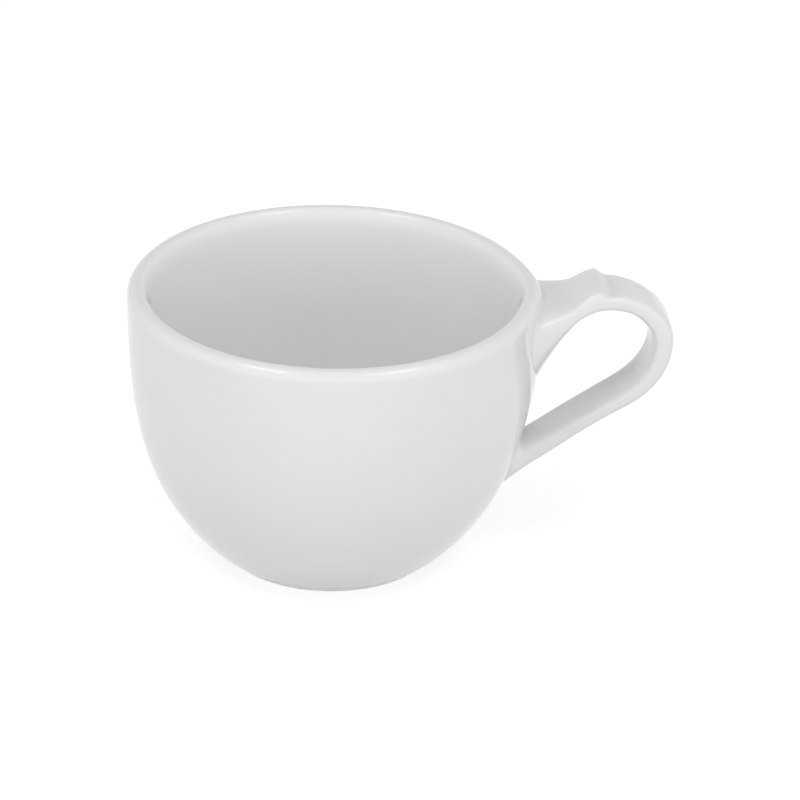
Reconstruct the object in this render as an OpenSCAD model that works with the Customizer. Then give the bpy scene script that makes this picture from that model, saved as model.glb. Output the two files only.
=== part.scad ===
// Coffee cup in white glazed porcelain: a round bowl on a turned foot ring, with a looped strap handle.
// The handle is cast by itself and luted to the bowl with slip at two seats.
// Origin: centre of the standing ring, on the table. +Z up, handle towards +X.

/* [Bowl] */
// Outside diameter at the rim
rim_diameter = 86; // [80:0.5:94]
// Height from the table to the top of the lip
cup_height = 60.8; // [58:0.2:66]
// Thickness of the rounded lip
lip_thickness = 4.6; // [3.6:0.1:5.6]
// Thickness of the wall at the belly
wall_thickness = 4; // [3:0.1:5]
// Thickness of the floor over the hollow of the foot
floor_thickness = 4.6; // [3.5:0.1:6]
// How far below the lip the wall starts to draw in
shoulder_drop = 27.3; // [24:0.1:30]
// Radius of the belly's control point
belly_radius = 39.6; // [38:0.1:42]
// Height of the belly's control point over the table
belly_height = 15.9; // [14:0.1:18]

/* [Foot] */
// Outside diameter of the foot ring
foot_diameter = 45.6; // [42:0.2:50]
// Height at which the belly turns in to the foot ring
foot_turn_height = 2.9; // [2.6:0.1:3.6]
// How far the belly stands out over the foot ring there
foot_turn_out = 3.3; // [2.6:0.1:4]
// Height of the foot ring's upright outer side
foot_side_height = 0.9; // [0.7:0.1:1.3]
// Width of the foot ring
foot_ring_width = 2.7; // [2:0.1:4]
// Rounding of the foot ring's two edges
foot_edge_radius = 0.5; // [0.3:0.1:0.7]
// Depth of the hollow under the floor
foot_hollow_depth = 2.2; // [1.4:0.1:3]

/* [Handle] */
// How far the centre line of the loop reaches out from the rim
loop_reach = 26; // [22:0.5:30]
// Drop from the middle of the lip to the lower end of the centre line
loop_drop = 37.2; // [34:0.2:39]
// Width of the strap round the loop and down the leg
strap_width = 11.4; // [8:0.1:13]
// Thickness of the strap at the outside of the loop
strap_thickness = 5; // [4.2:0.1:6.5]
// Thickness of the strap at the crown, just behind the spur
crown_thickness = 3.5; // [3:0.1:4.4]
// Width of the upper arm where it leaves the bowl
arm_width = 21.8; // [15:0.1:24]

/* [Thumb spur] */
// Height of the two corners of the spur over the arm
spur_height = 2.2; // [1:0.1:3]
// How much of that height the dip between the corners keeps
spur_dip_share = 0.2; // [0.1:0.05:0.8]
// Distance of the spur from the start of the arm
spur_distance = 12.8; // [11:0.1:17]
// Length of the slope that climbs to the corners
spur_rise = 4.9; // [3:0.1:8]
// Length of the slope that falls from them to the strap
spur_fall = 1.4; // [1.2:0.1:4]

/* [Seats] */
// Thickness of the slip between the handle and the wall
slip_thickness = 0.5; // [0.3:0.1:0.8]
// Width of the slip bead around each seat
slip_bead = 0.9; // [0.5:0.1:1.4]
// Half the height of the upper seat on the wall
upper_seat_half_height = 9.1; // [6:0.1:9.6]
// Half the width of the upper seat
upper_seat_half_width = 13.6; // [9:0.1:14]
// Half the height of the lower seat on the wall
lower_seat_half_height = 5.9; // [3.6:0.1:7]
// Half the width of the lower seat
lower_seat_half_width = 6.7; // [5:0.1:8]

/* [Hidden] */

PORCELAIN = [0.93, 0.93, 0.92];
SLIP = [0.88, 0.88, 0.86];

// Steps along each curve
wall_steps = 30;
turn_steps = 6;
arc_steps = 5;
lip_steps = 14;
cavity_steps = 24;
floor_steps = 12;
ring_count = 92;
around_count = 32;
cap_steps = 7;
bead_steps = 4;

rim_radius = rim_diameter / 2;
lip_radius = lip_thickness / 2;
lip_height = cup_height - lip_radius;
foot_radius = foot_diameter / 2;
floor_height = foot_hollow_depth + floor_thickness;

function mix(a, b, share) = a + (b - a) * share;
function unit(v) = v / norm(v);
function bezier(p, t) =
    pow(1 - t, 3) * p[0] + 3 * pow(1 - t, 2) * t * p[1] + 3 * (1 - t) * t * t * p[2] + pow(t, 3) * p[3];
function bezier_slope(p, t) =
    3 * pow(1 - t, 2) * (p[1] - p[0]) + 6 * (1 - t) * t * (p[2] - p[1]) + 3 * t * t * (p[3] - p[2]);
function arc(centre, radius, from, to, steps) =
    [for (i = [0:steps]) let (a = mix(from, to, i / steps)) centre + radius * [cos(a), sin(a)]];

// Outer wall, from the middle of the lip down to the turn above the foot
wall_curve = [
    [rim_radius, lip_height],
    [rim_radius, lip_height - shoulder_drop],
    [belly_radius, belly_height],
    [foot_radius + foot_turn_out, foot_turn_height]
];
// The belly runs on a little past its end and then coves down to the foot ring's side
turn_share = 0.1;
cove_share = 1.9;
turn_curve = [
    wall_curve[3],
    wall_curve[3] + (wall_curve[3] - wall_curve[2]) * turn_share,
    [foot_radius, foot_side_height * cove_share + foot_side_height],
    [foot_radius, foot_side_height]
];

// Inner wall: the outer one set in by the wall's thickness, then a floor that runs flat to the middle
cavity_end_share = 0.8;
floor_blend_share = 0.2;
floor_flat_share = 0.45;
thinning_share = 0.5;
function wall_inset(t) = mix(lip_thickness, wall_thickness, min(1, t / thinning_share));
function cavity_point(t) =
    let (d = unit(bezier_slope(wall_curve, t)))
    bezier(wall_curve, t) + wall_inset(t) * [d[1], -d[0]];
cavity_end = cavity_point(cavity_end_share);
cavity_run = unit(bezier_slope(wall_curve, cavity_end_share));
floor_curve = [
    cavity_end,
    cavity_end + cavity_run * rim_radius * floor_blend_share,
    [cavity_end[0] * floor_flat_share, floor_height],
    [0, floor_height]
];

// Foot ring seen from below: outer rounding, flat standing face, inner rounding, then the hollow
ring_inner_radius = foot_radius - foot_ring_width;
hollow_round = foot_edge_radius * 2;
hollow_dome = foot_edge_radius / 2;

function outer_outline() = concat(
    [for (i = [0:wall_steps]) bezier(wall_curve, i / wall_steps)],
    [for (i = [1:turn_steps]) bezier(turn_curve, i / turn_steps)],
    arc([foot_radius - foot_edge_radius, foot_edge_radius], foot_edge_radius, 0, -90, arc_steps),
    arc([ring_inner_radius + foot_edge_radius, foot_edge_radius], foot_edge_radius, -90, -180, arc_steps),
    arc([ring_inner_radius - hollow_round, foot_hollow_depth - hollow_round], hollow_round, 0, 90, arc_steps)
);
function inner_outline() = concat(
    [for (i = [0:floor_steps]) bezier(floor_curve, 1 - i / floor_steps)],
    [for (i = [1:cavity_steps - 1]) cavity_point(cavity_end_share * (1 - i / cavity_steps))]
);
function lip_outline() =
    [for (i = [0:lip_steps - 1])
        let (a = 180 * (1 - i / lip_steps))
        [rim_radius - lip_radius + lip_radius * cos(a), lip_height + lip_radius * sin(a)]];

module bowl() {
    color(PORCELAIN)
        rotate_extrude($fn = 180)
            polygon(concat(
                outer_outline(),
                [[0, foot_hollow_depth + hollow_dome]],
                inner_outline(),
                lip_outline()
            ));
}

// Radius of the outer wall at a height, found by halving the curve's span
function wall_share_at(z, low = 0, high = 1, turns = 20) =
    let (middle = (low + high) / 2)
    turns == 0 ? middle
        : bezier(wall_curve, middle)[1] > z ? wall_share_at(z, middle, high, turns - 1)
        : wall_share_at(z, low, middle, turns - 1);
function wall_radius(z) =
    z < lip_height ? bezier(wall_curve, wall_share_at(z))[0]
        : rim_radius - lip_radius + sqrt(pow(lip_radius, 2) - pow(min(z - lip_height, lip_radius), 2));

// A point over the outer wall, at a sideways place and a height, standing off by a gap
function on_wall(y, z, gap) = [sqrt(pow(wall_radius(z) + gap, 2) - y * y), y, z];

// Stations of the handle from the upper seat to the lower one. The centre line passes close to them.
// Each row: reach from the rim, drop from the lip's middle, thickness and width.
// Thickness goes from the crown's at 0 to the strap's at 1, width from the strap's at 0 to the arm's at 1.
station_shares = [
    [0.02, 0.096, 0.27, 1.007],
    [0.265, 0.058, 0.03, 0.505],
    [0.459, -0.014, 0.43, 0.206],
    [0.665, 0.004, 0.31, 0.093],
    [0.831, 0.041, 0.27, 0.006],
    [1.047, 0.187, 1.03, 0.051],
    [0.994, 0.425, 0.63, 0.114],
    [0.805, 0.579, 0.13, 0.108],
    [0.631, 0.646, -0.01, 0.032],
    [0.268, 0.811, 0.2, -0.013],
    [-0.01, 0.956, 0.58, -0.038],
    [-0.183, 1.015, 0.76, -0.076]
];
stations = [for (s = station_shares) [
    rim_radius + loop_reach * s[0],
    lip_height - loop_drop * s[1],
    mix(crown_thickness, strap_thickness, s[2]),
    mix(strap_width, arm_width, s[3])
]];
last = len(stations) - 1;

// Smooth curve near the stations, and its direction. One station is added past each end.
function station(i) =
    i < 0 ? 2 * stations[0] - stations[1]
        : i > last ? 2 * stations[last] - stations[last - 1]
        : stations[i];
function blend(i, w) =
    w[0] * station(i - 1) + w[1] * station(i) + w[2] * station(i + 1) + w[3] * station(i + 2);
function weights(f) =
    [pow(1 - f, 3), 3 * pow(f, 3) - 6 * f * f + 4, 1 + 3 * f + 3 * f * f - 3 * pow(f, 3), pow(f, 3)] / 6;
function slopes(f) = [-pow(1 - f, 2), 3 * f * f - 4 * f, 1 + 2 * f - 3 * f * f, f * f] / 2;
function span(u) = min(floor(u * last), last - 1);
function handle_at(u) = blend(span(u), weights(u * last - span(u)));
function handle_run(u) =
    let (d = blend(span(u), slopes(u * last - span(u))))
    unit([d[0], d[1]]);

// Length of the centre line up to each of its steps
function flat(p) = [p[0], p[1]];
function run_to(i) =
    i == 0 ? 0 : run_to(i - 1) + norm(flat(handle_at(i / ring_count) - handle_at((i - 1) / ring_count)));
runs = [for (i = [0:ring_count]) run_to(i)];
full_run = runs[ring_count];

// Squared circle that the strap's section and both seats follow
strap_squareness = 4;
upper_seat_squareness = [4, 2];
lower_seat_squareness = [2.6, 2.6];
function powered(v, squareness) = sign(v) * pow(abs(v), 2 / squareness);
function squared(angle, squareness) = [powered(cos(angle), squareness), powered(sin(angle), squareness)];
// The same with one squareness for the half that ends at the handle's upper face and one for the other half
function squared_halves(angle, squareness) = squared(angle, sin(angle) < 0 ? squareness[1] : squareness[0]);

// Thumb spur: two pointed corners at the arm's edges, on a low saddle that runs across it
saddle_rise = 6.3;
saddle_fall = 2.4;
corner_power = 4;
corner_fall_power = 1.6;
function ease_out(share) = (1 + cos(180 * min(1, share))) / 2;
function corner(run) =
    run < 0 ? max(0, 1 + run / spur_rise) : pow(max(0, 1 - run / spur_fall), corner_fall_power);
function saddle(run) = run < 0 ? ease_out(-run / saddle_rise) : ease_out(run / saddle_fall);
function spur_lift(run, side) =
    let (past = run - spur_distance)
    spur_height * mix(corner(past) * pow(abs(side), corner_power), saddle(past), spur_dip_share);

function section_point(i, angle) =
    let (
        c = handle_at(i / ring_count),
        d = handle_run(i / ring_count),
        s = squared(angle, strap_squareness),
        out = c[2] / 2 * s[1] + max(0, s[1]) * spur_lift(runs[i], s[0])
    )
    [c[0] - d[1] * out, c[3] / 2 * s[0], c[1] + d[0] * out];

// Gap left on each side of the slip, so that no two solids share a face
slip_clearance = 0.05;
seat_gap = slip_thickness + slip_clearance;

// Seats on the wall: half width, half height, squareness, height, and which way the handle's back faces
upper_seat_drop = 9.6;
upper_seat_height = lip_height - upper_seat_drop;
lower_seat_drop_share = 1.024;
lower_seat_height = lip_height - loop_drop * lower_seat_drop_share;
upper_seat = [upper_seat_half_width, upper_seat_half_height, upper_seat_squareness, upper_seat_height, 1];
lower_seat = [lower_seat_half_width, lower_seat_half_height, lower_seat_squareness, lower_seat_height, -1];

// A point of a seat: its outline, widened by a margin and drawn to its middle by a share
function seat_point(seat, angle, margin, share, gap) =
    let (p = squared_halves(angle, seat[2]))
    on_wall(share * (seat[0] + margin) * p[0], seat[3] + seat[4] * share * (seat[1] + margin) * p[1], gap);
// Rings over a seat's face stand closer together towards its outline, where the lip curves away
function face_share(k) = 1 - pow(1 - k / cap_steps, 2);
function seat_ring(seat, margin, share, gap) =
    [for (k = [0:around_count - 1]) seat_point(seat, 360 * k / around_count, margin, share, gap)];

// Near each seat the strap flares out to the seat's outline
upper_flare_length = 8.5;
lower_flare_length = 4.9;
upper_flare_power = 2.1;
lower_flare_power = 2;
function flare(run, length, power) = pow(max(0, 1 - run / length), power);
function handle_point(i, angle) =
    section_point(i, angle)
    + flare(runs[i], upper_flare_length, upper_flare_power)
        * (seat_point(upper_seat, angle, 0, 1, seat_gap) - section_point(0, angle))
    + flare(full_run - runs[i], lower_flare_length, lower_flare_power)
        * (seat_point(lower_seat, angle, 0, 1, seat_gap) - section_point(ring_count, angle));

// Solid through a list of rings, closed by a point at each end. Hand is 1 or -1, for the way the rings turn.
module lofted(first, rings, final, hand) {
    n = around_count;
    end = len(rings) * n + 1;
    faces = concat(
        [for (k = [0:n - 1]) [0, 1 + k, 1 + (k + 1) % n]],
        [for (j = [1:n:end - 2 * n]) for (k = [0:n - 1]) each
            let (a = j + k, b = j + (k + 1) % n)
            [[a, b + n, b], [a, a + n, b + n]]],
        [for (k = [0:n - 1]) [end, end - n + (k + 1) % n, end - n + k]]
    );
    polyhedron(
        concat([first], [for (r = rings) each r], [final]),
        hand > 0 ? faces : [for (f = faces) [f[0], f[2], f[1]]]
    );
}

module handle() {
    color(PORCELAIN)
        lofted(
            on_wall(0, upper_seat[3], seat_gap),
            concat(
                [for (k = [1:cap_steps - 1]) seat_ring(upper_seat, 0, face_share(k), seat_gap)],
                [for (i = [0:ring_count])
                    [for (k = [0:around_count - 1]) handle_point(i, 360 * k / around_count)]],
                [for (k = [1:cap_steps - 1]) seat_ring(lower_seat, 0, face_share(cap_steps - k), seat_gap)]
            ),
            on_wall(0, lower_seat[3], seat_gap),
            1
        );
}

// Layer of slip between a seat and the wall, with a hollow bead round its edge
bead_edge = 0.1;
function bead_ring(seat, share) =
    let (stand_off = mix(slip_clearance + bead_edge, slip_thickness, share * share))
    seat_ring(seat, slip_bead * (1 - share), 1, stand_off);
module slip_joint(seat) {
    color(SLIP)
        lofted(
            on_wall(0, seat[3], slip_clearance),
            concat(
                [for (k = [1:cap_steps]) seat_ring(seat, slip_bead, face_share(k), slip_clearance)],
                [for (k = [0:bead_steps]) bead_ring(seat, k / bead_steps)],
                [for (k = [1:cap_steps - 1]) seat_ring(seat, 0, face_share(cap_steps - k), slip_thickness)]
            ),
            on_wall(0, seat[3], slip_thickness),
            seat[4]
        );
}
module upper_slip_joint() slip_joint(upper_seat);
module lower_slip_joint() slip_joint(lower_seat);

bowl();
handle();
upper_slip_joint();
lower_slip_joint();
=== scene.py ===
import math
import bpy
import numpy as np
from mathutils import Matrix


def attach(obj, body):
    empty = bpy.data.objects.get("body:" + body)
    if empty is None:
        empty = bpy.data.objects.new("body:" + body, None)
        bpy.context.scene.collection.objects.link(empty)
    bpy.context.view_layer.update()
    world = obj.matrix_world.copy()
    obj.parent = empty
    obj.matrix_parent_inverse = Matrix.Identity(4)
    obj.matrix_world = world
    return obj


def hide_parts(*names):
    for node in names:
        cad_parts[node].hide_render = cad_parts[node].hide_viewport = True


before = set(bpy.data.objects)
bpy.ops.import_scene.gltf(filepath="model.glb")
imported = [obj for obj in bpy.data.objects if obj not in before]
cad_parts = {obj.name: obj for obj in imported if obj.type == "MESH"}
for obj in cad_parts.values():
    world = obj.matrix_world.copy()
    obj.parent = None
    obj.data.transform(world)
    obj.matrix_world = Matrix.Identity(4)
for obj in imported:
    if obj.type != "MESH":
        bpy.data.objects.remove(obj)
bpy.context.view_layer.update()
print("frame loaded")

# Sizes are in millimetres here and become metres when a mesh is made
toMetres = 0.001

bowlShape = {
    "rimRadius": 43.0, "height": 60.8, "lipThickness": 4.6,
    "wallThickness": 4.0, "floorThickness": 4.6, "lipInside": 5.6, "lipSquareness": 2.5,
    "shoulderDrop": 27.3, "bellyRadius": 39.6, "bellyHeight": 15.9,
    # shares of the wall's curve: where its inner side has thinned to the wall's thickness, and where it turns
    # into the floor; pulls of the floor's curve, as shares of the rim's radius and of the corner's
    "thinnedAt": 0.5, "floorTurn": 0.8, "floorPulls": (0.2, 0.45),
    "aroundSteps": 320, "wallSteps": 90, "lipSteps": 14, "browSteps": 32,
    "cavitySteps": 69, "floorSteps": 35,
}
footShape = {
    "radius": 22.8, "turnHeight": 2.9, "turnOut": 3.3, "sideHeight": 0.9,
    "ringWidth": 2.7, "edgeRadius": 0.5, "hollowDepth": 2.2,
    # the turn leaves the wall by this share of the wall's own pull, and meets the side from so many side
    # heights up
    "turnPulls": (0.1, 2.9),
    "undersideSteps": 13, "hollowSteps": 10, "edgeSteps": 8, "turnSteps": 14,
}
# where the handle's weight pulled the soft wall out: how far, between which heights it sets in, its reach
# sideways on the wall and at the lip, and between which heights that reach changes
pullShape = {"out": 0.82, "rising": (25.5, 41.5), "wide": (20.0, 8.5), "narrowing": (44.0, 57.0)}
curveSamples = 3000  # of the wall's curve, for reading its radius off at a height
sharpEdge = math.radians(30)  # edges that turn more than this are shaded as hard ones


# Curves

def cubic(points, t):
    # cubic curve: the four points weighted by the terms of ((1 - t) + t) cubed
    t = np.asarray(t, float)[:, None]
    p = [np.asarray(q, float) for q in points]
    return (1 - t) ** 3 * p[0] + 3 * (1 - t) ** 2 * t * p[1] + 3 * (1 - t) * t * t * p[2] + t ** 3 * p[3]


def cubicSlope(points, t):
    # its derivative by t
    t = np.asarray(t, float)[:, None]
    p = [np.asarray(q, float) for q in points]
    return 3 * (1 - t) ** 2 * (p[1] - p[0]) + 6 * (1 - t) * t * (p[2] - p[1]) + 3 * t * t * (p[3] - p[2])


def arcPoints(centre, radius, startDegrees, endDegrees, steps):
    # points at even angles round a centre: centre + radius * (cos, sin)
    a = np.radians(np.linspace(startDegrees, endDegrees, steps + 1))
    return np.asarray(centre) + radius * np.stack([np.cos(a), np.sin(a)], 1)


def squaredCircle(angle, squareness):
    # each of cos and sin raised to 2 / squareness, with its sign kept: 2 is a circle, more is squarer
    c, s = np.cos(angle), np.sin(angle)
    return np.sign(c) * np.abs(c) ** (2 / squareness), np.sign(s) * np.abs(s) ** (2 / squareness)


def easeOut(share):
    # from 1 at 0 down to 0 at 1 along half a cosine
    return (1 + np.cos(np.pi * np.clip(share, 0, 1))) / 2


def unitRows(v):
    # each vector divided by its length
    return v / np.linalg.norm(v, axis=-1, keepdims=True)


lipRadius = bowlShape["lipThickness"] / 2
lipHeight = bowlShape["height"] - lipRadius
wallCurve = [
    (bowlShape["rimRadius"], lipHeight),
    (bowlShape["rimRadius"], lipHeight - bowlShape["shoulderDrop"]),
    (bowlShape["bellyRadius"], bowlShape["bellyHeight"]),
    (footShape["radius"] + footShape["turnOut"], footShape["turnHeight"]),
]
wallTable = cubic(wallCurve, np.linspace(0, 1, curveSamples))


def smoothStep(x, low, high):
    # 0 below low, 1 above high, u * u * (3 - 2 u) between
    u = np.clip((x - low) / (high - low), 0, 1)
    return u * u * (3 - 2 * u)


def wallPull(y, z):
    # a smooth step in height times a bell sideways that narrows towards the lip
    w = pullShape
    wide = w["wide"][0] + (w["wide"][1] - w["wide"][0]) * smoothStep(z, *w["narrowing"])
    return w["out"] * smoothStep(z, *w["rising"]) * np.exp(-(y / wide) ** 2)


def wallRadius(z):
    # outer radius at a height: read off the wall's curve, and off the lip's circle above its middle
    z = np.asarray(z, float)
    below = np.interp(z, wallTable[::-1, 1], wallTable[::-1, 0])
    rise = np.clip(z - lipHeight, 0, lipRadius)
    above = bowlShape["rimRadius"] - lipRadius + np.sqrt(lipRadius ** 2 - rise ** 2)
    return np.where(z < lipHeight, below, above)


def bowlProfile():
    # The bowl's section from the underside's middle, round the foot, up the wall, over the lip and in to the
    # floor. The lip is a quarter of a circle outside and a longer quarter of a squared circle inside, and the
    # cavity follows the wall's curve at the wall's thickness.
    b, f = bowlShape, footShape
    ringInside = f["radius"] - f["ringWidth"]
    e = f["edgeRadius"]
    hollowEnd = ringInside - 2 * e
    shares = np.linspace(0, 1, f["undersideSteps"] + 1)
    underside = np.stack([hollowEnd * shares, f["hollowDepth"] + e / 2 * (1 - shares)], 1)
    hollow = arcPoints((hollowEnd, f["hollowDepth"] - 2 * e), 2 * e, 90, 0, f["hollowSteps"])
    innerEdge = arcPoints((ringInside + e, e), e, 180, 270, f["edgeSteps"])
    outerEdge = arcPoints((f["radius"] - e, e), e, -90, 0, f["edgeSteps"])
    end = np.array(wallCurve[3])
    turn = [end, end + (end - np.array(wallCurve[2])) * f["turnPulls"][0],
            (f["radius"], f["sideHeight"] * f["turnPulls"][1]), (f["radius"], f["sideHeight"])]
    turnRows = cubic(turn, np.linspace(1, 0, f["turnSteps"] + 1))
    wallRows = cubic(wallCurve, np.linspace(1, 0, b["wallSteps"]))
    lipMiddle = b["rimRadius"] - lipRadius
    lipRows = arcPoints((lipMiddle, lipHeight), lipRadius, 0, 90, b["lipSteps"])
    side, up = squaredCircle(np.radians(np.linspace(90, 180, b["browSteps"] + 1)), b["lipSquareness"])
    brow = np.stack([lipMiddle + lipRadius * side, b["height"] - b["lipInside"] * (1 - up)], 1)
    browEnd = np.interp(-brow[-1, 1], -wallTable[:, 1], np.linspace(0, 1, len(wallTable)))
    t = np.linspace(browEnd, b["floorTurn"], b["cavitySteps"] + 1)
    d = unitRows(cubicSlope(wallCurve, t))
    thinned = 1 - easeOut(t / b["thinnedAt"])
    inset = b["lipThickness"] + (b["wallThickness"] - b["lipThickness"]) * thinned
    cavityRows = cubic(wallCurve, t) + inset[:, None] * np.stack([d[:, 1], -d[:, 0]], 1)
    corner, run = cavityRows[-1], d[-1]
    floorHeight = f["hollowDepth"] + b["floorThickness"]
    floorRows = cubic([corner, corner + run * b["rimRadius"] * b["floorPulls"][0],
                       (corner[0] * b["floorPulls"][1], floorHeight), (0, floorHeight)],
                      np.linspace(0, 1, b["floorSteps"] + 1))
    return np.concatenate([underside, hollow[1:], innerEdge, outerEdge, turnRows[1:], wallRows[1:],
                           lipRows[1:], brow[1:], cavityRows[1:], floorRows[1:]])


# Meshes

def meshObject(name, points, faces):
    # a smooth mesh from points in millimetres, with its object at the origin
    mesh = bpy.data.meshes.new(name)
    mesh.from_pydata((points * toMetres).tolist(), [], faces)
    mesh.validate()
    mesh.polygons.foreach_set("use_smooth", np.ones(len(mesh.polygons), bool))
    mesh.set_sharp_from_angle(angle=sharpEdge)
    mesh.update()
    piece = bpy.data.objects.new(name, mesh)
    bpy.context.scene.collection.objects.link(piece)
    return piece


def loftObject(name, rings, first, final):
    # rings: rows x around x 3, closed round each row, with one point at each end; faces point outwards
    # when the rings turn left as seen from the side that the rows run to
    rows, around = rings.shape[:2]
    points = np.concatenate([[first], rings.reshape(-1, 3), [final]])
    j, k = np.meshgrid(np.arange(rows - 1), np.arange(around), indexing="ij")
    a = (1 + j * around + k).ravel()
    b = (1 + j * around + (k + 1) % around).ravel()
    quads = np.stack([a, b, b + around, a + around], 1)
    n = np.arange(around)
    cap = np.stack([np.zeros(around, int), 1 + (n + 1) % around, 1 + n], 1)
    end = rows * around + 1
    top = np.stack([np.full(around, end), end - around + n, end - around + (n + 1) % around], 1)
    return meshObject(name, points, quads.tolist() + cap.tolist() + top.tolist())


def lathe(name, profile, steps):
    # the profile turned about the Z axis: (r cos a, r sin a, z); its two ends on the axis are single points
    a = np.linspace(0, 2 * np.pi, steps, endpoint=False)
    rings = np.stack([profile[1:-1, :1] * np.cos(a), profile[1:-1, :1] * np.sin(a),
                      profile[1:-1, 1:] + 0 * a], -1)
    return loftObject(name, rings, (0, 0, profile[0, 1]), (0, 0, profile[-1, 1]))


# Bowl

bowl = lathe("cup_bowl", bowlProfile(), bowlShape["aroundSteps"])
# the pull moves the points of the wall and the lip outwards on the handle's side, where x is above 0
bowlPoints = np.empty(len(bowl.data.vertices) * 3)
bowl.data.vertices.foreach_get("co", bowlPoints)
bowlPoints = bowlPoints.reshape(-1, 3)
across = np.linalg.norm(bowlPoints[:, :2], axis=1)
pull = wallPull(bowlPoints[:, 1] / toMetres, bowlPoints[:, 2] / toMetres) * toMetres
pull = pull * (bowlPoints[:, 0] > 0)
bowlPoints[:, :2] *= (1 + pull / np.maximum(across, toMetres))[:, None]
bowl.data.vertices.foreach_set("co", bowlPoints.ravel())
bowl.data.update()
print("bowl made:", len(bowl.data.vertices), "points")

# Handle

handleShape = {
    "loopReach": 26.0, "loopDrop": 37.2,
    "strapWidth": 11.4, "strapThickness": 5.0, "crownThickness": 3.5, "armWidth": 21.8,
    "strapSquareness": 4.0, "rows": 369, "around": 128,
}
# squareness of the strap's inner half at shares of the run: soft where the loop turns, crisp along the leg
innerSquareness = np.array([(0, 4.0), (0.3, 4.0), (0.4, 3.4), (0.5, 3.5), (0.62, 4.2), (1, 4.0)])
# the thumb spur: its corners rise to the full height and the saddle between them to a share of it, at a
# distance along the run; past it comes a shallow dip
spurShape = {
    "height": 2.2, "saddleShare": 0.2, "distance": 12.8, "rise": 4.9, "fall": 1.4, "saddleRise": 6.3,
    "saddleFall": 2.4, "cornerPower": 4.0, "fallPower": 1.6, "dip": 0.7, "dipPlace": 1.9, "dipReach": 1.2,
}
# each seat: half width; half height and squareness, first of the half that ends at the handle's upper face;
# height on the wall; which way the handle's back faces; length and power of the flare; upper and lower bead
upperSeat = {
    "halfWidth": 13.5, "halfHeight": (7.1, 8.9), "squareness": (3.6, 1.8), "height": lipHeight - 7.9,
    "turn": 1, "flare": 8.0, "power": 1.6, "bead": (0.9, 1.5),
}
lowerSeat = {
    "halfWidth": 6.7, "halfHeight": (5.9, 5.9), "squareness": (2.6, 2.6), "height": lipHeight - 38.1,
    "turn": -1, "flare": 4.9, "power": 2.0, "bead": (1.3, 1.3),
}
# the layer of slip: thickness, how far its back stands off the wall, pulls of the bead's curve along the wall
# (a share of the bead) and along the handle (mm), and rows of points
slipShape = {
    "thickness": 0.55, "clearance": -0.01, "wallPull": 0.55, "handlePull": 0.5,
    "capRows": 8, "beadRows": 16,
}

# stations from the upper seat to the lower one: shares of reach, drop, thickness and width
stationShares = np.array([
    (0.028, 0.111, 0.787, 1.096), (0.275, 0.053, 0.093, 0.477), (0.46, -0.013, 0.407, 0.213),
    (0.665, 0.004, 0.307, 0.098), (0.831, 0.041, 0.27, 0.006), (1.047, 0.187, 1.03, 0.051),
    (0.994, 0.425, 0.63, 0.114), (0.805, 0.579, 0.13, 0.108), (0.631, 0.646, -0.01, 0.032),
    (0.268, 0.811, 0.2, -0.013), (-0.01, 0.956, 0.58, -0.038), (-0.183, 1.015, 0.76, -0.076),
])


def stationRows():
    # place out from the axis, height, thickness and width at each station, each a start plus a share of a span
    h, s = handleShape, stationShares
    return np.stack([bowlShape["rimRadius"] + h["loopReach"] * s[:, 0],
                     lipHeight - h["loopDrop"] * s[:, 1],
                     h["crownThickness"] + (h["strapThickness"] - h["crownThickness"]) * s[:, 2],
                     h["strapWidth"] + (h["armWidth"] - h["strapWidth"]) * s[:, 3]], 1)


def splineThrough(rows, u):
    # uniform cubic B-spline near the rows, with one mirrored row past each end; gives the point and its slope,
    # each the sum of four rows times their weights
    r = np.vstack([2 * rows[0] - rows[1], rows, 2 * rows[-1] - rows[-2]])
    x = np.clip(u * (len(rows) - 1), 0, len(rows) - 1 - 1e-9)
    i = x.astype(int)
    f = (x - i)[:, None]
    weights = [(1 - f) ** 3 / 6, (3 * f ** 3 - 6 * f * f + 4) / 6,
               (1 + 3 * f + 3 * f * f - 3 * f ** 3) / 6, f ** 3 / 6]
    slopes = [-(1 - f) ** 2 / 2, (3 * f * f - 4 * f) / 2, (1 + 2 * f - 3 * f * f) / 2, f * f / 2]
    return (sum(w * r[i + k] for k, w in enumerate(weights)),
            sum(w * r[i + k] for k, w in enumerate(slopes)))


def overWall(y, z, gap):
    # the point at a sideways place and a height, a gap out from the wall: x is the root of
    # (radius + pull + gap) squared less y squared
    return np.stack([np.sqrt((wallRadius(z) + wallPull(y, z) + gap) ** 2 - y ** 2), y, z], -1)


def seatRing(seat, angle, margin, share, gap):
    # the seat's outline, widened by a margin and drawn in to its middle by a share
    squareness, tall = (np.where(np.sin(angle) < 0, v[1], v[0])
                        for v in (seat["squareness"], seat["halfHeight"]))
    y, z = squaredCircle(angle, squareness)
    return overWall(share * (seat["halfWidth"] + margin) * y,
                    seat["height"] + seat["turn"] * share * (tall + margin) * z, gap)


def seatCentre(seat, gap):
    # the point over the wall at the seat's height, where y is 0
    return overWall(np.array(0.0), np.array(seat["height"]), gap)


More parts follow.
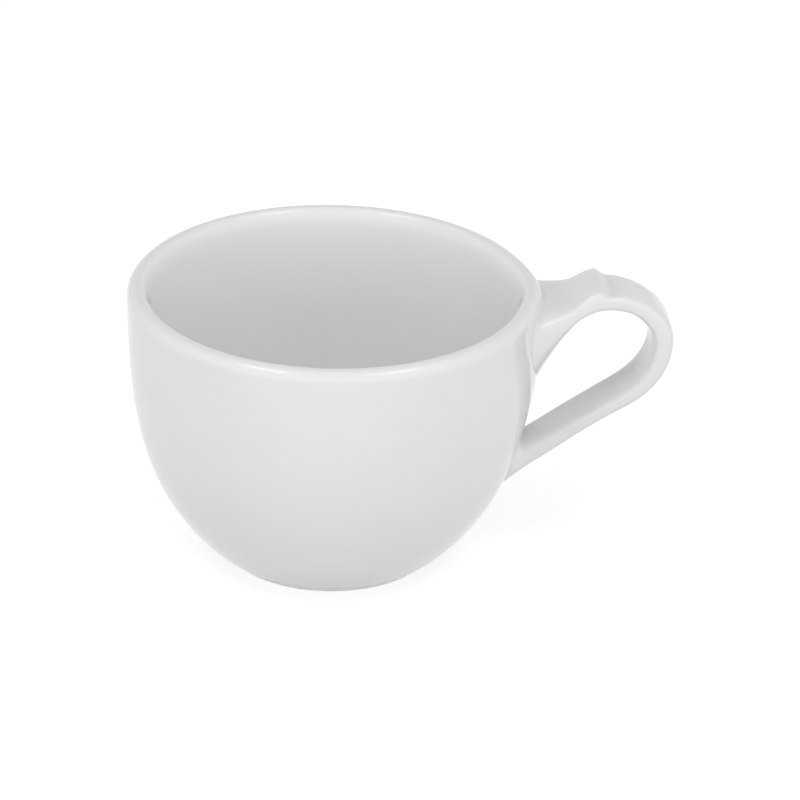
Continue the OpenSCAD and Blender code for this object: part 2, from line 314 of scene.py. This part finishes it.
def handleRings():
    # a squared section carried along the spline, lifted by the spur on its upper face and flared to the seats
    h, p, thick = handleShape, spurShape, slipShape["thickness"]
    u = np.linspace(0, 1, h["rows"])
    c, d = splineThrough(stationRows(), u)
    d = unitRows(d[:, :2])
    run = np.concatenate([[0], np.cumsum(np.linalg.norm(np.diff(c[:, :2], axis=0), axis=1))])
    angle = np.linspace(0, 2 * np.pi, h["around"], endpoint=False)
    inner = np.interp(run / run[-1], innerSquareness[:, 0], innerSquareness[:, 1])[:, None]
    side, up = squaredCircle(angle, np.where(np.sin(angle) < 0, inner, h["strapSquareness"]))
    past = (run - p["distance"])[:, None]
    corner = np.where(past < 0, np.clip(1 + past / p["rise"], 0, 1),
                      np.clip(1 - past / p["fall"], 0, 1) ** p["fallPower"])
    saddle = np.where(past < 0, easeOut(-past / p["saddleRise"]), easeOut(past / p["saddleFall"]))
    share = p["saddleShare"]
    atEdge = np.abs(side) ** p["cornerPower"]
    lift = p["height"] * (share * saddle + (1 - share) * corner * atEdge)
    lift = lift - p["dip"] * np.exp(-((past - p["dipPlace"]) / p["dipReach"]) ** 2) * (1 - atEdge)
    out = c[:, 2:3] / 2 * up + np.maximum(up, 0) * lift
    rings = np.stack([c[:, :1] - d[:, 1:] * out, c[:, 3:4] / 2 * side, c[:, 1:2] + d[:, :1] * out], -1)
    for seat, edge, away in ((upperSeat, 0, run), (lowerSeat, -1, run[-1] - run)):
        share = np.clip(1 - away / seat["flare"], 0, 1) ** seat["power"]
        target = seatRing(seat, angle, 0, 1, thick)
        rings = rings + share[:, None, None] * (target - rings[edge])
    outwards = np.linspace(0, 1, slipShape["capRows"])[1:-1]
    upperCap = [seatRing(upperSeat, angle, 0, s, thick) for s in outwards]
    lowerCap = [seatRing(lowerSeat, angle, 0, s, thick) for s in outwards[::-1]]
    return np.concatenate([upperCap, rings, lowerCap])


handleLoft = handleRings()
# the handle's own first and last ring, past the caps on its seats
firstRing, finalRing = slipShape["capRows"] - 2, 1 - slipShape["capRows"]
handle = loftObject("cup_handle", handleLoft[:, ::-1], seatCentre(upperSeat, slipShape["thickness"]),
                    seatCentre(lowerSeat, slipShape["thickness"]))
print("handle made:", len(handle.data.vertices), "points")

# Slip joints

def slipJoint(name, seat, flank):
    # A layer on the wall whose free edge is a hollow bead: a cubic that leaves the wall along it and meets
    # the handle along its flank, the way in which the handle's side leaves the seat.
    s = slipShape
    angle = np.linspace(0, 2 * np.pi, handleShape["around"], endpoint=False)
    upper, lower = seat["bead"]
    reach = lower + (upper - lower) * (1 + seat["turn"] * np.sin(angle)) / 2
    inwards = np.linspace(1, 0, s["capRows"] + 1)
    under = [seatRing(seat, angle, reach, k, s["clearance"]) for k in inwards[::-1][1:]]
    edge = seatRing(seat, angle, 0, 1, s["thickness"])
    ends = [seatRing(seat, angle, reach, 1, s["clearance"]),
            seatRing(seat, angle, reach * (1 - s["wallPull"]), 1, s["clearance"]),
            edge - flank * s["handlePull"], edge]
    k = np.linspace(0, 1, s["beadRows"])[:, None, None]
    bead = ((1 - k) ** 3 * ends[0] + 3 * (1 - k) ** 2 * k * ends[1]
            + 3 * (1 - k) * k * k * ends[2] + k ** 3 * ends[3])
    over = [seatRing(seat, angle, 0, k, s["thickness"]) for k in inwards[1:-1]]
    rings = np.concatenate([np.stack(under), bead, np.stack(over)])
    rings = rings[:, ::-1] if seat["turn"] > 0 else rings
    return loftObject(name, rings, seatCentre(seat, s["clearance"]), seatCentre(seat, s["thickness"]))


upperSlip = slipJoint("upper_slip_bead", upperSeat,
                      unitRows(handleLoft[firstRing + 1] - handleLoft[firstRing]))
lowerSlip = slipJoint("lower_slip_bead", lowerSeat,
                      unitRows(handleLoft[finalRing - 1] - handleLoft[finalRing]))
print("slip joints made")

# Materials

def linearColour(hexCode):
    # sRGB hex to linear: c / 12.92 up to 0.04045, else ((c + 0.055) / 1.055) to the power 2.4
    c = np.array([int(hexCode[i:i + 2], 16) for i in (1, 3, 5)]) / 255
    c = np.where(c <= 0.04045, c / 12.92, ((c + 0.055) / 1.055) ** 2.4)
    return (*c.tolist(), 1.0)


def newMaterial(name):
    material = bpy.data.materials.new(name)
    material.use_nodes = True
    material.node_tree.nodes.clear()
    return material, material.node_tree


def addNode(tree, kind, settings=None, inputs=None):
    # one node, its settings, and its inputs: a plain value or another node's output
    node = tree.nodes.new(kind)
    for key, value in (settings or {}).items():
        setattr(node, key, value)
    for key, value in (inputs or {}).items():
        if isinstance(value, bpy.types.NodeSocket):
            tree.links.new(value, node.inputs[key])
        else:
            node.inputs[key].default_value = value
    return node


# sizes and heights in millimetres; the clouds run over the middle range of their noise
glaze = {
    "porcelain": "#F2F2F2", "porcelainDeep": "#EEEEEE", "ior": 1.5, "roughness": (0.04, 0.07),
    "cloudSize": 18.0, "cloudDetail": 2.0, "cloudRange": (0.3, 0.7),
    "rippleSize": 5.0, "rippleDetail": 1.0, "rippleHeight": 0.02, "rippleStrength": 0.25,
}
bisque = {
    "body": "#E4E0D8", "worn": "#D6D0C6", "roughness": 0.72, "gritSize": 0.25, "gritDetail": 3.0,
    "glazeEnd": (0.14, 0.18), "waver": 0.12,
}


def glazedPorcelain(name, bareFoot):
    # Hard-paste porcelain under a clear glaze fired to glass: a white body with a sharp, slightly rippled
    # gloss. The bowl stands on a ring wiped free of glaze, where the matt body shows.
    material, tree = newMaterial(name)
    place = addNode(tree, "ShaderNodeTexCoord").outputs["Object"]
    cloud = addNode(tree, "ShaderNodeTexNoise", {}, {
        "Vector": place, "Scale": 1 / (glaze["cloudSize"] * toMetres), "Detail": glaze["cloudDetail"]})
    cloud = cloud.outputs["Fac"]
    body = addNode(tree, "ShaderNodeMix", {"data_type": "RGBA"}, {
        "Factor": cloud, "A": linearColour(glaze["porcelain"]), "B": linearColour(glaze["porcelainDeep"])})
    colour = body.outputs["Result"]
    ripple = addNode(tree, "ShaderNodeTexNoise", {}, {
        "Vector": place, "Scale": 1 / (glaze["rippleSize"] * toMetres), "Detail": glaze["rippleDetail"]})
    ripple = ripple.outputs["Fac"]
    rough = addNode(tree, "ShaderNodeMapRange", {}, {
        "Value": cloud, "From Min": glaze["cloudRange"][0], "From Max": glaze["cloudRange"][1],
        "To Min": glaze["roughness"][0], "To Max": glaze["roughness"][1]})
    roughness = rough.outputs["Result"]
    bump = addNode(tree, "ShaderNodeBump", {}, {
        "Height": ripple, "Strength": glaze["rippleStrength"],
        "Distance": glaze["rippleHeight"] * toMetres})
    normal = bump.outputs["Normal"]
    if bareFoot:
        # the glaze ends at a wavering height just over the table
        height = addNode(tree, "ShaderNodeSeparateXYZ", {}, {"Vector": place}).outputs["Z"]
        grit = addNode(tree, "ShaderNodeTexNoise", {}, {
            "Vector": place, "Scale": 1 / (bisque["gritSize"] * toMetres), "Detail": bisque["gritDetail"]})
        waver = addNode(tree, "ShaderNodeMath", {"operation": "MULTIPLY_ADD"}, {
            0: ripple, 1: bisque["waver"] * toMetres, 2: height}).outputs[0]
        bare = addNode(tree, "ShaderNodeMapRange", {}, {
            "Value": waver, "From Min": bisque["glazeEnd"][0] * toMetres,
            "From Max": bisque["glazeEnd"][1] * toMetres, "To Min": 1.0, "To Max": 0.0}).outputs["Result"]
        clay = addNode(tree, "ShaderNodeMix", {"data_type": "RGBA"}, {
            "Factor": grit.outputs["Fac"], "A": linearColour(bisque["body"]),
            "B": linearColour(bisque["worn"])}).outputs["Result"]
        colour = addNode(tree, "ShaderNodeMix", {"data_type": "RGBA"}, {
            "Factor": bare, "A": colour, "B": clay}).outputs["Result"]
        roughness = addNode(tree, "ShaderNodeMapRange", {}, {
            "Value": bare, "To Min": roughness, "To Max": bisque["roughness"]}).outputs["Result"]
    shader = addNode(tree, "ShaderNodeBsdfPrincipled", {}, {
        "Base Color": colour, "Roughness": roughness, "IOR": glaze["ior"], "Normal": normal})
    addNode(tree, "ShaderNodeOutputMaterial", {}, {"Surface": shader.outputs["BSDF"]})
    return material


bowlGlaze = glazedPorcelain("glazed porcelain, bare standing ring", True)
handleGlaze = glazedPorcelain("glazed porcelain, slip-cast", False)
slipGlaze = glazedPorcelain("glazed slip", False)
for piece, material, node, slotName in (
        (bowl, bowlGlaze, "bowl", "glazed_porcelain"), (handle, handleGlaze, "handle", "glazed_porcelain"),
        (upperSlip, slipGlaze, "upper_slip_joint", "glazed_slip"),
        (lowerSlip, slipGlaze, "lower_slip_joint", "glazed_slip")):
    piece.data.materials.append(material)
    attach(piece, "root")
    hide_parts(node)
    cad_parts[node].data.materials.clear()
    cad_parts[node].data.materials.append(material)
print("materials set")

# Floor, lamps and camera

studio = {
    "floorSize": 6000.0, "floorDrop": 0.05,
    "floorColour": "#CACACA", "floorGlow": 0.75, "floorShade": 0.4,
    # the world as light and as it is seen, from the walls to the ceiling, and between which upward parts of a
    # direction it changes from the one to the other
    "wallLight": 0.77, "ceilingLight": 0.53, "lightRise": (0.0, 0.8),
    "seenWall": 1.0, "seenCeiling": 0.15, "seenRise": (0.25, 0.75),
    "lampAim": 30.0,  # the height that the softboxes face
}
# softboxes: name, direction in the camera's turn about Z, distance, width and height in millimetres, power
# in watts, and whether the glaze shows it
softboxes = (
    ("key softbox", (0, -0.92, 0.35), 900, (800, 650), 1.34, False),
    ("left side softbox", (-0.8, -0.55, 0.25), 1500, (900, 900), 4.4, False),
    ("right side softbox", (0.8, -0.55, 0.25), 1500, (900, 900), 4.4, False),
    ("left softbox", (-0.39, -0.27, 0.88), 1000, (400, 250), 1.15, True),
    ("right softbox", (0.39, -0.27, 0.88), 1000, (400, 250), 1.15, True),
)


def whiteForBackground(tree):
    # 1 where the camera looks straight or through gloss or glass, else 0
    path = addNode(tree, "ShaderNodeLightPath")
    glossy = addNode(tree, "ShaderNodeMath", {"operation": "MAXIMUM"},
                     {0: path.outputs["Is Camera Ray"], 1: path.outputs["Is Glossy Ray"]}).outputs[0]
    return addNode(tree, "ShaderNodeMath", {"operation": "MAXIMUM"},
                   {0: glossy, 1: path.outputs["Is Transmission Ray"]}).outputs[0]


def matteFloor():
    # White seamless paper: seen by the camera it is nearly full white by itself, and the rest of its light
    # comes from the lamps, so that the cup's shadow stays on it
    material, tree = newMaterial("white seamless paper")
    seen = addNode(tree, "ShaderNodeBsdfDiffuse", {}, {"Color": (studio["floorShade"],) * 3 + (1,)})
    glow = addNode(tree, "ShaderNodeEmission", {}, {"Strength": studio["floorGlow"]})
    both = addNode(tree, "ShaderNodeAddShader", {}, {0: seen.outputs[0], 1: glow.outputs[0]})
    paper = addNode(tree, "ShaderNodeBsdfDiffuse", {}, {"Color": linearColour(studio["floorColour"])})
    mixed = addNode(tree, "ShaderNodeMixShader", {}, {0: whiteForBackground(tree), 1: paper.outputs[0],
                                                      2: both.outputs[0]})
    addNode(tree, "ShaderNodeOutputMaterial", {}, {"Surface": mixed.outputs[0]})
    return material


half, low = studio["floorSize"] / 2, -studio["floorDrop"]
floor = meshObject("floor", np.array([(-half, -half, low), (half, -half, low), (half, half, low),
                                      (-half, half, low)]), [(0, 1, 2, 3)])
floor.data.materials.append(matteFloor())

world = bpy.data.worlds.new("pale studio")
world.use_nodes = True
bpy.context.scene.world = world
world.node_tree.nodes.clear()
# the studio's walls are lighter than its ceiling, both as light and as they are seen
upward = addNode(world.node_tree, "ShaderNodeSeparateXYZ", {}, {
    "Vector": addNode(world.node_tree, "ShaderNodeTexCoord").outputs["Generated"]}).outputs["Z"]
lit = addNode(world.node_tree, "ShaderNodeMapRange", {}, {
    "Value": upward, "From Min": studio["lightRise"][0], "From Max": studio["lightRise"][1],
    "To Min": studio["wallLight"], "To Max": studio["ceilingLight"]}).outputs["Result"]
shown = addNode(world.node_tree, "ShaderNodeMapRange", {}, {
    "Value": upward, "From Min": studio["seenRise"][0], "From Max": studio["seenRise"][1],
    "To Min": studio["seenWall"], "To Max": studio["seenCeiling"]}).outputs["Result"]
strength = addNode(world.node_tree, "ShaderNodeMapRange", {}, {
    "Value": whiteForBackground(world.node_tree), "To Min": lit, "To Max": shown}).outputs["Result"]
sky = addNode(world.node_tree, "ShaderNodeBackground", {}, {"Strength": strength})
addNode(world.node_tree, "ShaderNodeOutputWorld", {}, {"Surface": sky.outputs[0]})

# The camera's place was worked out from the rim's outline in the photograph, with the cup's axis upright.
# Angles in radians, lens, sensor and places in millimetres, the far limit of the view in metres; the handle
# turns away from the picture plane by handleTurn.
cameraShape = {
    "lens": 180.0, "sensor": 36.0, "farLimit": 50.0, "yaw": 0.0192, "pitch": 0.4604, "roll": 0.0273,
    "distance": 758.53, "rise": 351.84, "handleTurn": math.radians(3.5),
}


def viewAxes():
    # right, up and forward in the part's frame, from yaw, pitch and roll, then turned with the handle
    yaw, pitch, roll = cameraShape["yaw"], cameraShape["pitch"], cameraShape["roll"]
    ahead = np.array([math.sin(yaw) * math.cos(pitch), math.cos(yaw) * math.cos(pitch), -math.sin(pitch)])
    right = np.array([math.cos(yaw), -math.sin(yaw), 0])
    up = np.cross(right, ahead)
    rolled = math.cos(roll) * right + math.sin(roll) * up
    return rolled, math.cos(roll) * up - math.sin(roll) * right, ahead


def turned(v):
    # about Z by minus the handle's turn
    c, s = math.cos(cameraShape["handleTurn"]), math.sin(cameraShape["handleTurn"])
    v = np.asarray(v, float)
    return np.array([c * v[0] + s * v[1], -s * v[0] + c * v[1], v[2]])


cameraData = bpy.data.cameras.new("camera")
cameraData.lens = cameraShape["lens"]
cameraData.sensor_width = cameraShape["sensor"]
cameraData.clip_end = cameraShape["farLimit"]
camera = bpy.data.objects.new("camera", cameraData)
bpy.context.scene.collection.objects.link(camera)
eye = turned((0, -cameraShape["distance"], cameraShape["rise"] + lipHeight)) * toMetres
axes = [turned(v) for v in viewAxes()]
matrix = np.eye(4)
matrix[:3, 0], matrix[:3, 1], matrix[:3, 2], matrix[:3, 3] = axes[0], axes[1], -axes[2], eye
camera.matrix_world = [tuple(row) for row in matrix.T]
bpy.context.scene.camera = camera


def lamp(name, direction, distance, size, power, seenInGloss):
    # a rectangular softbox whose back points along the direction, so that it faces the cup
    data = bpy.data.lights.new(name, "AREA")
    data.shape = "RECTANGLE"
    data.size, data.size_y = size[0] * toMetres, size[1] * toMetres
    data.energy = power
    item = bpy.data.objects.new(name, data)
    bpy.context.scene.collection.objects.link(item)
    back = turned(unitRows(np.array(direction, float)))
    side = unitRows(np.cross((0, 0, 1), back))
    top = np.cross(back, side)
    spot = back * distance * toMetres + np.array([0, 0, studio["lampAim"] * toMetres])
    m = np.eye(4)
    m[:3, 0], m[:3, 1], m[:3, 2], m[:3, 3] = side, top, back, spot
    item.matrix_world = [tuple(row) for row in m.T]
    item.visible_glossy = seenInGloss


for softbox in softboxes:
    lamp(*softbox)
bpy.context.scene.view_settings.view_transform = "Standard"
print("studio set")
